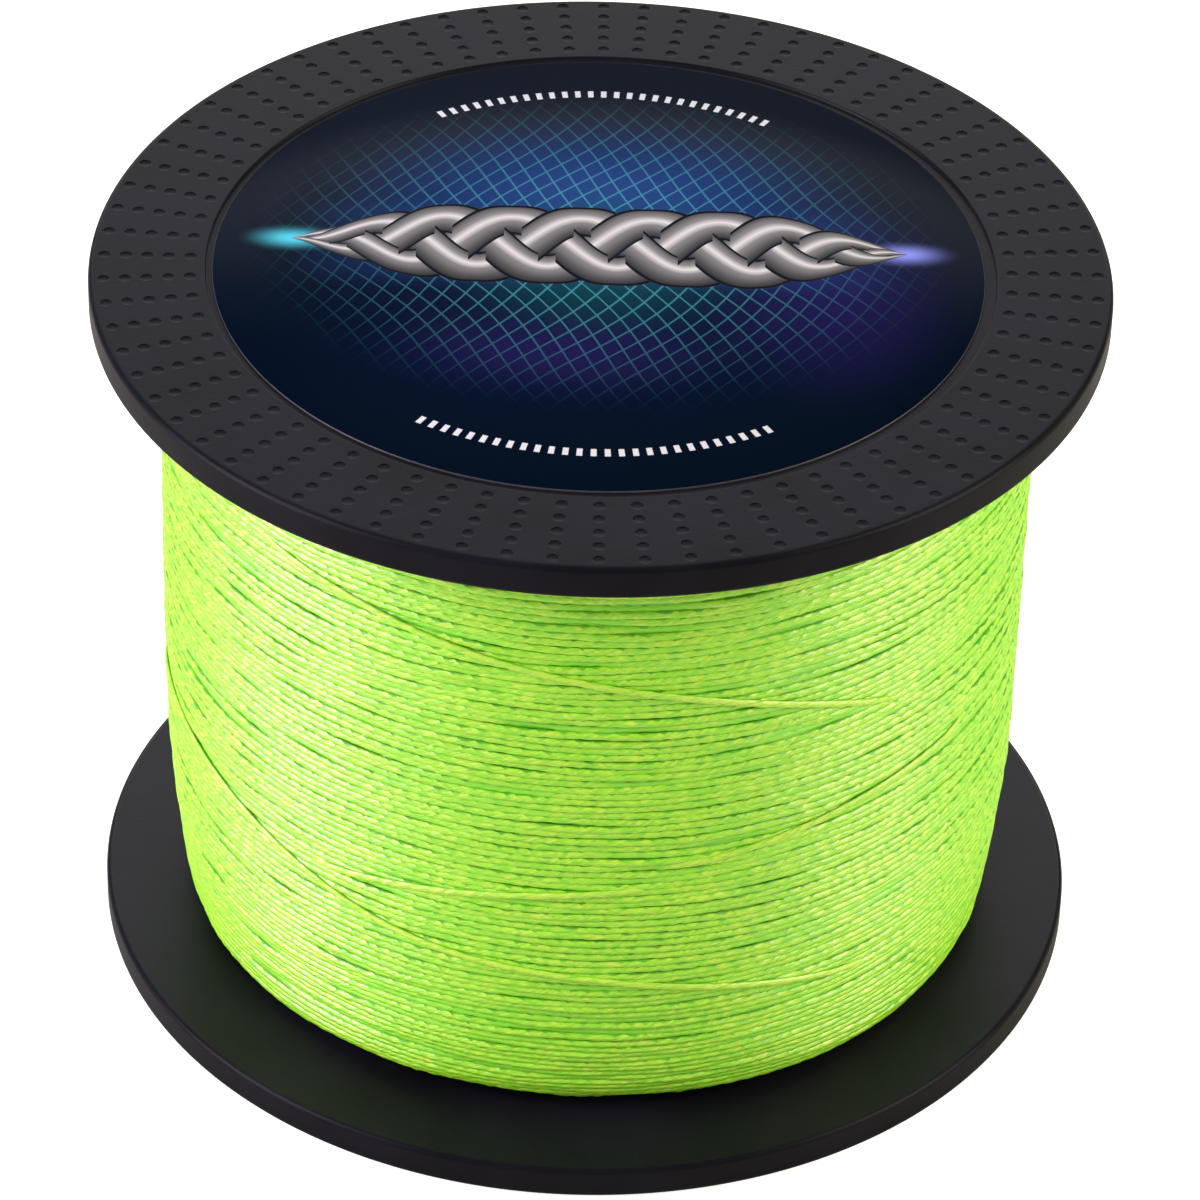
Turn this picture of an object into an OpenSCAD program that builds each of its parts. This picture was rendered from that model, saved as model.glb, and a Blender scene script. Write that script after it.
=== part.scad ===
// Bulk spool of braided fishing line, in millimetres.
// Two flange mouldings press into the ends of a barrel tube and trap a spindle
// sleeve between them. The line is wound on the barrel, between the flanges.
// +Z is the spool's axis, and z = 0 is the face that it stands on.

/* [Spool] */
// Diameter of both flanges
flange_d = 100; // [90:1:130]
// Height over both flanges
spool_h = 77; // [60:1:110]
// Thickness of a flange
flange_t = 3.5; // [3:0.1:5]
// Rounding of both edges of the rim
rim_edge_r = 0.6; // [0.3:0.1:1.2]

/* [Dimple ring] */
// Width of the dimpled ring, from the rim in to the label recess
dimple_band_w = 11.4; // [9:0.1:14]
// Radial rows of dimples round an outer face
dimple_rows = 72; // [24:2:80]
// Dimples in one row
dimples_per_row = 5; // [2:1:5]
// Diameter of a dimple at the surface
dimple_d = 1.5; // [1:0.1:1.6]
// Depth of a dimple
dimple_depth = 0.35; // [0.2:0.05:0.5]
// From the edge of the band to the centre of the nearest dimple
dimple_margin = 1.5; // [1.4:0.1:2]
// Angle of the first row from +X
dimple_phase = 0.6; // [0:0.1:5]

/* [Label] */
// Depth of the round recess in each outer face
recess_depth = 0.3; // [0.2:0.05:0.5]
// Thickness of the label's film
label_t = 0.2; // [0.1:0.05:0.3]
// Bare ring left between the label and the wall of its recess
label_margin = 0.9; // [0.5:0.1:2]
// How far the label was laid off centre
label_shift = 0.25; // [0:0.05:0.4]

/* [Barrel] */
// Outer diameter of the barrel that the line is wound on
barrel_d = 50; // [46:1:60]
// Wall of the barrel
barrel_wall = 2.5; // [2:0.1:4]
// Length of the flange spigot inside the barrel
spigot_depth = 8; // [6:0.5:12]
// Wall of the spigot
spigot_wall = 2; // [1.5:0.1:3]
// Clearance between spigot and barrel, on the radius
spigot_clearance = 0.1; // [0.05:0.05:0.3]
// Radius of the snap bead round the spigot
bead_r = 0.4; // [0.2:0.05:0.6]
// Height of the bead above the flange's inner face
bead_z = 5.5; // [4.6:0.1:7]

/* [Driving lugs] */
// Lugs round the root of a spigot, which keep the barrel from slipping
lug_count = 4; // [2:1:8]
// Width of a lug
lug_w = 5; // [3:0.1:8]
// Height of a lug
lug_h = 3; // [2:0.1:3.6]
// Clearance of a lug in its notch
lug_clearance = 0.15; // [0.1:0.05:0.4]
// How far a lug stays back from the barrel's outside
lug_setback = 0.6; // [0.4:0.1:1]

/* [Spindle sleeve] */
// Bore for the spindle
spindle_d = 16; // [10:0.5:20]
// Chamfer at the mouth of the bore in each flange
mouth_chamfer = 0.6; // [0.3:0.1:1]
// Wall of the sleeve
sleeve_wall = 2; // [1.5:0.1:3]
// Chamfer at both ends of the sleeve
sleeve_chamfer = 0.4; // [0.2:0.1:0.8]
// Clearance of the sleeve in its socket, on the radius
socket_clearance = 0.1; // [0.05:0.05:0.3]
// Wall of the socket that the sleeve seats in
socket_wall = 2; // [1.5:0.1:2.5]
// Depth of the socket
socket_depth = 6; // [4:0.5:10]
// Ribs between the socket and the spigot
rib_count = 8; // [4:1:12]
// Thickness of a rib
rib_t = 1.6; // [1:0.1:2.5]
// Height of a rib
rib_h = 4.5; // [3:0.5:6]

/* [Line] */
// Diameter of the line
line_d = 0.55; // [0.3:0.01:0.7]
// How far the wound line stays below the rim
line_setback = 6.7; // [4:0.1:12]
// How much thinner the package is at its lower end
taper_in = 2; // [0.5:0.1:3]
// Height of the thinner end
taper_h = 18.5; // [8:0.5:25]
// Rounding of the package at the flanges
shoulder_r = 2; // [1:0.1:3]
// Gap between the package and a flange
end_gap = 0.1; // [0.05:0.05:0.3]
// Gap between the package and a loop of the outer turns
lay_gap = 0.06; // [0.02:0.02:0.2]
// Loops of the outer turns on their way down
lay_turns = 21; // [8:1:21]
// Loops of the last pass, which crosses back up over them
crossing_turns = 2; // [1:1:2]
// Gap between the crossing pass and the loops under it
crossing_gap = 0.46; // [0.45:0.01:0.8]

/* [Start tape] */
// Width of the tape that holds the start of the line to the barrel
tape_w = 12; // [6:0.5:20]
// Thickness of the tape
tape_t = 0.2; // [0.1:0.05:0.3]
// Part of the barrel that the tape goes round, in degrees
tape_arc = 70; // [30:5:180]
// Height of the tape above the lower flange
tape_z = 8; // [3:0.5:20]
// Gap on each side of the tape
tape_gap = 0.05; // [0.02:0.01:0.1]

/* [Hidden] */
$fn = 96;
overlap = 0.3;    // how far features of one moulding run into each other
cut = 1;          // how far a cutter reaches past the face it cuts

flange_r = flange_d / 2;
recess_r = flange_r - dimple_band_w;
label_r = recess_r - label_margin;
inner_h = spool_h - 2 * flange_t;

barrel_r = barrel_d / 2;
barrel_bore_r = barrel_r - barrel_wall;
spigot_r = barrel_bore_r - spigot_clearance;
spigot_bore_r = spigot_r - spigot_wall;

spindle_r = spindle_d / 2;
sleeve_r = spindle_r + sleeve_wall;
socket_r = sleeve_r + socket_clearance;
socket_outer_r = socket_r + socket_wall;

first_dimple_r = recess_r + dimple_margin;
last_dimple_r = flange_r - dimple_margin;
dimple_pitch = (last_dimple_r - first_dimple_r) / (dimples_per_row - 1);
// radius of the ball whose cap is a dimple
dimple_ball_r = (pow(dimple_d / 2, 2) + pow(dimple_depth, 2)) / (2 * dimple_depth);

// The outer turns: one tube, whose loops have straight stretches between their rings
loop_rings = 24;
tube_sides = 6;
line_r = line_d / 2;
chord_drop = cos(180 / loop_rings);    // a stretch's middle radius over its ends' radius
lay_r = flange_r - line_setback - line_r;              // centre of a loop at full width
crossing_rise = (line_d + crossing_gap) / chord_drop;  // from a loop to the pass over it
bed_r = lay_r * chord_drop - line_r - lay_gap;         // package surface under the loops
bed_low_r = bed_r - taper_in;
bed_bore_r = barrel_r + tape_t + 2 * tape_gap;
bed_z0 = flange_t + end_gap;
bed_z1 = spool_h - flange_t - end_gap;

bend_r = 2 * line_d;                   // where an end turns up to meet the flange
bend_steps = 4;
top_z = bed_z1 - line_d - bend_r;      // height at which the loops start and end
low_z = bed_z0 + shoulder_r + line_r;  // height of the lowest loop
lay_steps = lay_turns * loop_rings;
climb_steps = loop_rings / 2;          // half a loop, to change layers
crossing_steps = crossing_turns * loop_rings;

// ---------------------------------------------------------------- flanges

// Half section of a flange moulding, with its outer face on y = 0
module flange_section() {
    difference() {
        union() {
            translate([spindle_r, 0])
                square([flange_r - rim_edge_r - spindle_r, flange_t]);
            translate([spindle_r, rim_edge_r])
                square([flange_r - spindle_r, flange_t - 2 * rim_edge_r]);
            for (y = [rim_edge_r, flange_t - rim_edge_r])
                translate([flange_r - rim_edge_r, y]) circle(r = rim_edge_r);
            translate([spigot_bore_r, flange_t - overlap])
                square([spigot_wall, spigot_depth + overlap]);
            translate([spigot_r, flange_t + bead_z]) circle(r = bead_r);
            translate([socket_r, flange_t - overlap])
                square([socket_wall, socket_depth + overlap]);
        }
        translate([0, -cut]) square([recess_r, recess_depth + cut]);
        translate([spindle_r, recess_depth])
            polygon([[-cut, -cut], [mouth_chamfer + cut, -cut], [-cut, mouth_chamfer + cut]]);
    }
}

module flange_ribs() {
    for (i = [0 : rib_count - 1])
        rotate(i * 360 / rib_count)
            translate([socket_outer_r - overlap, -rib_t / 2, flange_t - overlap])
                cube([spigot_bore_r - socket_outer_r + 2 * overlap, rib_t, rib_h + overlap]);
}

// Blocks for the driving lugs, or with a clearance for the notches they fill
module lug_blocks(inner_r, outer_r, clearance) {
    for (i = [0 : lug_count - 1])
        rotate((i + 0.5) * 360 / lug_count)
            translate([inner_r, -lug_w / 2 - clearance, flange_t - overlap])
                cube([outer_r - inner_r, lug_w + 2 * clearance, lug_h + clearance + overlap]);
}

module dimples() {
    for (row = [0 : dimple_rows - 1], i = [0 : dimples_per_row - 1])
        rotate(dimple_phase + row * 360 / dimple_rows)
            translate([first_dimple_r + i * dimple_pitch, 0, dimple_depth - dimple_ball_r])
                sphere(r = dimple_ball_r, $fn = 24);
}

module flange_moulding() {
    difference() {
        union() {
            rotate_extrude() flange_section();
            flange_ribs();
            lug_blocks(spigot_r - overlap, barrel_r - lug_setback, 0);
        }
        dimples();
    }
}

module lower_flange() {
    color("#2c2c30") flange_moulding();
}

module upper_flange() {
    color("#36363a") upside_down() flange_moulding();
}

// Turns a piece of the lower end over, to the upper end
module upside_down() {
    translate([0, 0, spool_h]) mirror([0, 0, 1]) children();
}

// ---------------------------------------------------------------- barrel and sleeve

module barrel_wall_section() {
    difference() {
        translate([barrel_bore_r, flange_t]) square([barrel_wall, inner_h]);
        for (y = [flange_t + bead_z, spool_h - flange_t - bead_z])
            translate([spigot_r, y]) circle(r = bead_r + spigot_clearance);
    }
}

module barrel() {
    color("#3a3a3f") difference() {
        rotate_extrude() barrel_wall_section();
        lug_blocks(barrel_bore_r - cut, barrel_r + cut, lug_clearance);
        upside_down() lug_blocks(barrel_bore_r - cut, barrel_r + cut, lug_clearance);
    }
}

module spindle_sleeve() {
    z1 = spool_h - flange_t;
    color("#55555c") rotate_extrude()
        polygon([[spindle_r, flange_t], [sleeve_r - sleeve_chamfer, flange_t],
                 [sleeve_r, flange_t + sleeve_chamfer], [sleeve_r, z1 - sleeve_chamfer],
                 [sleeve_r - sleeve_chamfer, z1], [spindle_r, z1]]);
}

// ---------------------------------------------------------------- label

// The film spans the spindle hole, so the bore is open only at the lower end
module face_label() {
    color("#0d2547")
        translate([-label_shift, 0, spool_h - recess_depth])
            cylinder(r = label_r, h = label_t, $fn = 180);
}

// ---------------------------------------------------------------- line

module start_tape() {
    color("#d8d4c4")
        translate([0, 0, flange_t + tape_z])
            rotate_extrude(angle = tape_arc)
                translate([barrel_r + tape_gap, 0]) square([tape_t, tape_w]);
}

module line_package() {
    color("#8fce2c") rotate_extrude() {
        polygon([[bed_bore_r, bed_z0], [bed_low_r - shoulder_r, bed_z0],
                 [bed_low_r, bed_z0 + shoulder_r], [bed_r, bed_z0 + taper_h],
                 [bed_r, bed_z1 - shoulder_r], [bed_r - shoulder_r, bed_z1],
                 [bed_bore_r, bed_z1]]);
        translate([bed_low_r - shoulder_r, bed_z0 + shoulder_r]) circle(r = shoulder_r);
        translate([bed_r - shoulder_r, bed_z1 - shoulder_r]) circle(r = shoulder_r);
    }
}

// Radius at which a loop lies on the package at height z
function lie_r(z) =
    let (t = min(1, max(0, (z - bed_z0 - shoulder_r) / (taper_h - shoulder_r))))
    lay_r - taper_in * (1 - t) / chord_drop;

// A point of the line from its radius, its turn about the axis and its height
function on_package(r, turn, z) = [r * cos(turn), r * sin(turn), z];

// Angle that an arc length takes at the loops' radius
function arc_turn(length) = length / lay_r * 180 / PI;

// Radius of the crossing pass, a layer above the loops at the same height
function crossing_r(z) = lie_r(z) + crossing_rise;

ring_turn = -360 / loop_rings;
start_turn = 60;
end_turn = start_turn + ring_turn * (lay_steps + climb_steps + crossing_steps);

// The start leaves the upper flange square to it and bends into the first loop
lead_in = concat(
    [on_package(lay_r, start_turn + arc_turn(bend_r), bed_z1)],
    [for (i = [0 : bend_steps - 1]) let (a = i * 90 / bend_steps)
        on_package(lay_r, start_turn + arc_turn(bend_r * cos(a)),
                   top_z + bend_r * (1 - sin(a)))]);

// The loops go down the package side by side
lay = [for (i = [0 : lay_steps - 1])
    let (z = top_z + (low_z - top_z) * i / lay_steps)
    on_package(lie_r(z), start_turn + ring_turn * i, z)];

// Half a loop lifts the line on to the next layer
climb = [for (i = [0 : climb_steps - 1])
    let (lift = crossing_rise * (1 - cos(180 * i / climb_steps)) / 2)
    on_package(lie_r(low_z) + lift, start_turn + ring_turn * (lay_steps + i), low_z)];

// The last pass crosses back up over the loops
crossing = [for (i = [0 : crossing_steps])
    let (z = low_z + (top_z - low_z) * i / crossing_steps)
    on_package(crossing_r(z), start_turn + ring_turn * (lay_steps + climb_steps + i), z)];

// The end bends up and meets the upper flange square to it
lead_out = concat(
    [for (i = [1 : bend_steps]) let (a = i * 90 / bend_steps)
        on_package(crossing_r(top_z), end_turn - arc_turn(bend_r * sin(a)),
                   top_z + bend_r * (1 - cos(a)))],
    [on_package(crossing_r(top_z), end_turn - arc_turn(bend_r), bed_z1)]);

line_route = concat(lead_in, lay, climb, crossing, lead_out);

function unit(v) = v / norm(v);

// Rings of corners round the route, each one square to the way the line runs there
function tube_ring(route, i) =
    let (last = len(route) - 1,
         along = unit(route[min(i + 1, last)] - route[max(i - 1, 0)]),
         out = unit([route[i].x, route[i].y, 0]),
         up = unit(out - (out * along) * along),
         side = cross(along, up))
    [for (k = [0 : tube_sides - 1])
        let (a = k * 360 / tube_sides)
        route[i] + line_r * (cos(a) * up + sin(a) * side)];

module tube(route) {
    n = tube_sides;
    last = (len(route) - 1) * n;
    corners = [for (i = [0 : len(route) - 1]) each tube_ring(route, i)];
    walls = [for (i = [0 : len(route) - 2], k = [0 : n - 1])
        let (a = i * n + k, b = i * n + (k + 1) % n)
        each [[a, b, b + n], [a, b + n, a + n]]];
    ends = [for (k = [1 : n - 2])
        each [[0, k + 1, k], [last, last + k, last + k + 1]]];
    polyhedron(points = corners, faces = concat(walls, ends), convexity = 10);
}

module line_outer_turns() {
    color("#a6e03a") tube(line_route);
}

// Least gap between stretches of the line that lie in different loops
function least_gap(route, apart) =
    min([for (i = [0 : len(route) - 1 - apart])
        min([for (j = [i + apart : len(route) - 1]) norm(route[i] - route[j])])]) - line_d;

echo(loops = (len(lay) + len(climb) + len(crossing) - 1) / loop_rings);
echo(least_gap_mm = least_gap(line_route, loop_rings / 2));

// ---------------------------------------------------------------- nodes

lower_flange();
upper_flange();
barrel();
spindle_sleeve();
face_label();
start_tape();
line_package();
line_outer_turns();
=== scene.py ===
# %% [markdown]
# # A bulk spool of braided fishing line
# The spool is two black moulded flanges, a hub between them and a thick package
# of bright braided line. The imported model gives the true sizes: it is loaded
# first and never moved. This script then gives every piece that shows its finish,
# and models again, in finer detail, the pieces that a camera comes close to.

# %% Load the frame
import math
import bmesh
import bpy
import numpy as np
from mathutils import Matrix, Vector


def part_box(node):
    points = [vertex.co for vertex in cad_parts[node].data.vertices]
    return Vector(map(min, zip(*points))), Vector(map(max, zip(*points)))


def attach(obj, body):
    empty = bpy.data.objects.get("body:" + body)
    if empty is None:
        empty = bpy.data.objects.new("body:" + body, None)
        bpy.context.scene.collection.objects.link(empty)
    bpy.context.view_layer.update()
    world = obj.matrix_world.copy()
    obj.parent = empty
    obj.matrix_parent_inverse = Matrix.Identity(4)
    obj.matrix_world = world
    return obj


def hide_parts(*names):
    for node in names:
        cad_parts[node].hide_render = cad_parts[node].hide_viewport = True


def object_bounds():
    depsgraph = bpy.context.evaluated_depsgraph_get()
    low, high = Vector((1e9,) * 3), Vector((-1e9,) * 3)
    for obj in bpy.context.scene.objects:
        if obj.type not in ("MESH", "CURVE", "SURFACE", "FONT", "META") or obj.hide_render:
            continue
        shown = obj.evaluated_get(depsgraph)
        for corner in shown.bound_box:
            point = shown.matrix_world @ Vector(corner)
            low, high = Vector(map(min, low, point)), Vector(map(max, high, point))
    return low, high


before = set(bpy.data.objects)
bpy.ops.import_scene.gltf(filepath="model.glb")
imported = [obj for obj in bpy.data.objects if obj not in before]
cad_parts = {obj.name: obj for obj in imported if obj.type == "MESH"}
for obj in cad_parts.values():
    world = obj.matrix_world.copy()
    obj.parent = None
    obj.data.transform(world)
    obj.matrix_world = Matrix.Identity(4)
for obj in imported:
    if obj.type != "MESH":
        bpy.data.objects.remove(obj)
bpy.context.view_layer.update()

# %% [markdown]
# ## Sizes
# Blender works in metres, and a spool is easier to think of in millimetres, so
# sizes are written times MM. What the frame can tell is read from it: the rim,
# the height and the label. The rest follows the flange moulding's own drawing.

# %% Sizes of the spool
MM = 0.001
rim_low, rim_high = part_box("lower_flange")
_, spool_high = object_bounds()
label_low, label_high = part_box("face_label")
sleeve_low, sleeve_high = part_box("spindle_sleeve")

FLANGE_R = (rim_high.x - rim_low.x) / 2
SPOOL_H = spool_high.z
FLANGE_T = sleeve_low.z
LABEL_X = (label_low.x + label_high.x) / 2
LABEL_R = (label_high.x - label_low.x) / 2
SLEEVE_R = (sleeve_high.x - sleeve_low.x) / 2
SPINDLE_R = SLEEVE_R - 2 * MM
print(f"flange {2 * FLANGE_R / MM:.1f} mm across and {FLANGE_T / MM:.1f} mm thick")

# %% [markdown]
# ## The camera
# The spool is seen from a little above, through a long lens. The camera stands
# where its two rims have the right ellipses, and is turned by three angles: down
# to the spool, a touch to the right, and a small roll.

# %% Camera
CAMERA_PLACE = (0, -495.12 * MM, 405.69 * MM)
CAMERA_DOWN = 0.64106
CAMERA_RIGHT = 0.00161
CAMERA_ROLL = 0.02867
SENSOR_MM = 36
LENS_MM = 182.38
CLIP_METRES = (0.05, 20)

camera = bpy.data.objects.new("camera", bpy.data.cameras.new("camera"))
bpy.context.scene.collection.objects.link(camera)
camera.data.sensor_width = SENSOR_MM
camera.data.lens = LENS_MM
camera.data.clip_start, camera.data.clip_end = CLIP_METRES
turn = (Matrix.Rotation(-CAMERA_RIGHT, 3, "Z")
        @ Matrix.Rotation(math.pi / 2 - CAMERA_DOWN, 3, "X")
        @ Matrix.Rotation(CAMERA_ROLL, 3, "Z"))
camera.matrix_world = Matrix.Translation(CAMERA_PLACE) @ turn.to_4x4()
bpy.context.scene.camera = camera
print("camera looks along", tuple(turn @ Vector((0, 0, -1))))

# %% [markdown]
# ## Small helpers for modelling
# Operators act on whatever is selected, so each helper starts from an empty
# selection. Round pieces are lathed: an outline is drawn in the XZ plane and
# spun once about Z, as the mould for such a piece is turned on a lathe.

# %% Selecting and tidying
TOUCH = 0.001 * MM


def add_object(name, data):
    """Puts data in the scene as an object that sits at the origin."""
    obj = bpy.data.objects.new(name, data)
    bpy.context.scene.collection.objects.link(obj)
    return obj


def select_only(*objects):
    bpy.ops.object.select_all(action="DESELECT")
    for obj in objects:
        obj.select_set(True)
    bpy.context.view_layer.objects.active = objects[0]


def tidy_faces(obj):
    """Merges points that touch, then turns every face outwards."""
    select_only(obj)
    bpy.ops.object.mode_set(mode="EDIT")
    bpy.ops.mesh.select_all(action="SELECT")
    bpy.ops.mesh.remove_doubles(threshold=TOUCH)
    bpy.ops.mesh.normals_make_consistent(inside=False)
    bpy.ops.object.mode_set(mode="OBJECT")


# %% Lathe
SPIN_STEPS = 288


def lathe(name, outline, steps=SPIN_STEPS):
    """Spins a closed outline of (radius, height) points about Z."""
    bpy.ops.object.select_all(action="DESELECT")
    bpy.ops.mesh.primitive_circle_add(vertices=len(outline), radius=FLANGE_R)
    obj = bpy.context.object
    obj.name = obj.data.name = name
    for vertex, (radius, height) in zip(obj.data.vertices, outline):
        vertex.co = (radius, 0, height)
    bpy.ops.object.mode_set(mode="EDIT")
    bpy.ops.mesh.select_all(action="SELECT")
    bpy.ops.mesh.spin(steps=steps, angle=2 * math.pi, center=(0, 0, 0), axis=(0, 0, 1))
    bpy.ops.object.mode_set(mode="OBJECT")
    tidy_faces(obj)
    return obj


def arc(centre_r, centre_z, radius, start, end, steps=6):
    """Points on a round corner of an outline, with its angles in degrees."""
    angles = np.radians(np.linspace(start, end, steps + 1))
    return [(centre_r + radius * math.cos(a), centre_z + radius * math.sin(a)) for a in angles]


# %% [markdown]
# ## Small helpers for materials
# Every finish is a node graph round one Principled shader. These helpers add a
# node, link its inputs and return its output, so that a pattern can be written
# as a short sum. Numbers that are the same all over are set on the shader itself.


# %% Material helpers
class Finish:
    """A material with its Principled shader, and short words for its nodes."""

    def __init__(self, name, **settings):
        self.material = bpy.data.materials.new(name)
        self.material.use_nodes = True
        self.nodes = self.material.node_tree.nodes
        self.links = self.material.node_tree.links
        self.shader = self.nodes["Principled BSDF"]
        for key, value in settings.items():
            self.shader.inputs[key.replace("_", " ")].default_value = value

    def feed(self, socket, value):
        if isinstance(value, bpy.types.NodeSocket):
            self.links.new(value, socket)
        else:
            socket.default_value = value

    def math(self, operation, *values):
        node = self.nodes.new("ShaderNodeMath")
        node.operation = operation
        for socket, value in zip(node.inputs, values):
            self.feed(socket, value)
        return node.outputs[0]

    def mix(self, amount, first, second):
        node = self.nodes.new("ShaderNodeMix")
        node.data_type = "RGBA"
        self.feed(node.inputs["Factor"], amount)
        # Inputs 6 and 7 are colours A and B, and output 2 is the mixed colour.
        for socket, value in ((node.inputs[6], first), (node.inputs[7], second)):
            self.feed(socket, (*value, 1) if isinstance(value, tuple) else value)
        return node.outputs[2]

    def spread(self, value, low, high, to_low=0.0, to_high=1.0):
        """Maps low..high smoothly on to a new range."""
        node = self.nodes.new("ShaderNodeMapRange")
        node.interpolation_type = "SMOOTHSTEP"
        for socket, each in zip(node.inputs, (value, low, high, to_low, to_high)):
            self.feed(socket, each)
        return node.outputs[0]

    def ramp(self, value, stops):
        node = self.nodes.new("ShaderNodeValToRGB")
        while len(node.color_ramp.elements) < len(stops):
            node.color_ramp.elements.new(0.5)
        for element, (place, colour) in zip(node.color_ramp.elements, stops):
            element.position = place
            element.color = (*colour, 1)
        self.feed(node.inputs[0], value)
        return node.outputs[0]

    def place(self, kind="Object", scale=(1, 1, 1), shift=(0, 0, 0)):
        coordinates = self.nodes.new("ShaderNodeTexCoord")
        mapping = self.nodes.new("ShaderNodeMapping")
        mapping.inputs["Scale"].default_value = scale
        mapping.inputs["Location"].default_value = shift
        self.links.new(coordinates.outputs[kind], mapping.inputs["Vector"])
        return mapping.outputs[0]

    def axes(self, vector):
        node = self.nodes.new("ShaderNodeSeparateXYZ")
        self.links.new(vector, node.inputs[0])
        return node.outputs[0], node.outputs[1], node.outputs[2]

    def noise(self, vector, scale, detail=2.0):
        node = self.nodes.new("ShaderNodeTexNoise")
        self.links.new(vector, node.inputs["Vector"])
        node.inputs["Scale"].default_value = scale
        node.inputs["Detail"].default_value = detail
        return node.outputs[0]

    def paint(self, colour):
        self.feed(self.shader.inputs["Base Color"], colour)

    def bump(self, height, distance, strength=1.0):
        node = self.nodes.new("ShaderNodeBump")
        node.inputs["Strength"].default_value = strength
        node.inputs["Distance"].default_value = distance
        self.links.new(height, node.inputs["Height"])
        self.links.new(node.outputs[0], self.shader.inputs["Normal"])


# %% [markdown]
# ## The flange moulding
# Both flanges come from one mould. A half section is lathed: the disc with its
# rounded rim, the shallow label recess, the bore's chamfered mouth, the spigot
# with its snap bead, and the socket for the sleeve.


# %% Flange section
RIM_EDGE_R = 0.6 * MM
RECESS_R = FLANGE_R - 11.4 * MM
RECESS_DEPTH = 0.3 * MM
RECESS_SOFT = 0.15 * MM
MOUTH_CHAMFER = 0.6 * MM
BARREL_R = 25 * MM
SPIGOT_R = 22.4 * MM
SPIGOT_BORE_R = 20.4 * MM
SPIGOT_TOP = FLANGE_T + 8 * MM
BEAD_R = 0.4 * MM
BEAD_Z = FLANGE_T + 5.5 * MM
SOCKET_R = SLEEVE_R + 0.1 * MM
SOCKET_OUTER_R = SOCKET_R + 2 * MM
SOCKET_TOP = FLANGE_T + 6 * MM


def flange_outline():
    """Half section with its outer face on z = 0, walked once round."""
    disc_edge = FLANGE_R - RIM_EDGE_R
    outer_face = [
        (SPINDLE_R, RECESS_DEPTH + MOUTH_CHAMFER),
        (SPINDLE_R + MOUTH_CHAMFER, RECESS_DEPTH),
        *arc(RECESS_R - RECESS_SOFT, RECESS_DEPTH - RECESS_SOFT, RECESS_SOFT, 90, 30, 3),
        *arc(RECESS_R + RECESS_SOFT, RECESS_SOFT, RECESS_SOFT, 210, 270, 3),
    ]
    rim = [
        *arc(disc_edge, RIM_EDGE_R, RIM_EDGE_R, -90, 0, 8),
        *arc(disc_edge, FLANGE_T - RIM_EDGE_R, RIM_EDGE_R, 0, 90, 8),
    ]
    inner_face = [
        (BARREL_R, FLANGE_T),
        (SPIGOT_R, FLANGE_T),
        *arc(SPIGOT_R, BEAD_Z, BEAD_R, -90, 90, 6),
        (SPIGOT_R, SPIGOT_TOP),
        (SPIGOT_BORE_R, SPIGOT_TOP),
        (SPIGOT_BORE_R, FLANGE_T),
        (SOCKET_OUTER_R, FLANGE_T),
        (SOCKET_OUTER_R, SOCKET_TOP),
        (SOCKET_R, SOCKET_TOP),
        (SOCKET_R, FLANGE_T),
        (SPINDLE_R, FLANGE_T),
    ]
    return outer_face + rim + inner_face


flange = lathe("flange", flange_outline())
print("flange section:", len(flange_outline()), "points, spun in", SPIN_STEPS, "steps")

# %% [markdown]
# Ribs stiffen the flange round its socket, and driving lugs keep the barrel from
# turning on it. Each is a box that is made once and copied round the axis. The
# copies are joined to one object, and a Boolean adds it, which keeps the mesh
# closed. The same three helpers cut holes later.

# %% Joining and cutting
def apply_modifiers(obj):
    select_only(obj)
    for modifier in list(obj.modifiers):
        bpy.ops.object.modifier_apply(modifier=modifier.name)


def combine(obj, other, how):
    """Cuts other out of obj, or joins it on, with a Boolean modifier."""
    boolean = obj.modifiers.new("boolean", "BOOLEAN")
    boolean.solver = "MANIFOLD"
    boolean.operation = how
    boolean.object = other
    apply_modifiers(obj)
    bpy.data.objects.remove(other)


def join(name, parts):
    select_only(*parts)
    bpy.ops.object.join()
    joined = bpy.context.object
    joined.name = joined.data.name = name
    return joined


# %% Ribs and driving lugs
RIB_COUNT = 8
RIB_T = 1.6 * MM
RIB_H = 4.5 * MM
LUG_COUNT = 4
LUG_W = 5 * MM
LUG_H = 3 * MM
LUG_SETBACK = 0.6 * MM
OVERLAP = 0.3 * MM


def spokes(name, count, inner_r, outer_r, width, height, first):
    """A ring of boxes on the flange's inner face, each copied from the first."""
    bpy.ops.object.select_all(action="DESELECT")
    middle = ((inner_r + outer_r) / 2, 0, FLANGE_T + (height - OVERLAP) / 2)
    size = (outer_r - inner_r, width, height + OVERLAP)
    bpy.ops.mesh.primitive_cube_add(size=1, location=middle, scale=size)
    bpy.ops.object.transform_apply(location=True, rotation=True, scale=True)
    block = bpy.context.object
    copies = []
    for i in range(count):
        copy = add_object(name, block.data.copy())
        copy.data.transform(Matrix.Rotation(first + i * 2 * math.pi / count, 4, "Z"))
        copies.append(copy)
    bpy.data.objects.remove(block)
    return join(name, copies)


ribs = spokes("ribs", RIB_COUNT, SOCKET_OUTER_R - OVERLAP, SPIGOT_BORE_R + OVERLAP,
              RIB_T, RIB_H, 0)
combine(flange, ribs, "UNION")
lugs = spokes("lugs", LUG_COUNT, SPIGOT_R - OVERLAP, BARREL_R - LUG_SETBACK,
              LUG_W, LUG_H, math.pi / LUG_COUNT)
combine(flange, lugs, "UNION")
print(RIB_COUNT, "ribs and", LUG_COUNT, "lugs joined on:", len(flange.data.vertices), "points")

# %% [markdown]
# ## The dimple ring
# The outer face carries 72 radial rows of five small round pits. Each pit has a
# flat floor and a steep wall, so that from the front only the far wall shows, as
# a thin dark crescent. Its mouth flares a little and catches the light. One
# cutter is lathed, copied to every place, and all are cut in one Boolean.

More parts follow.
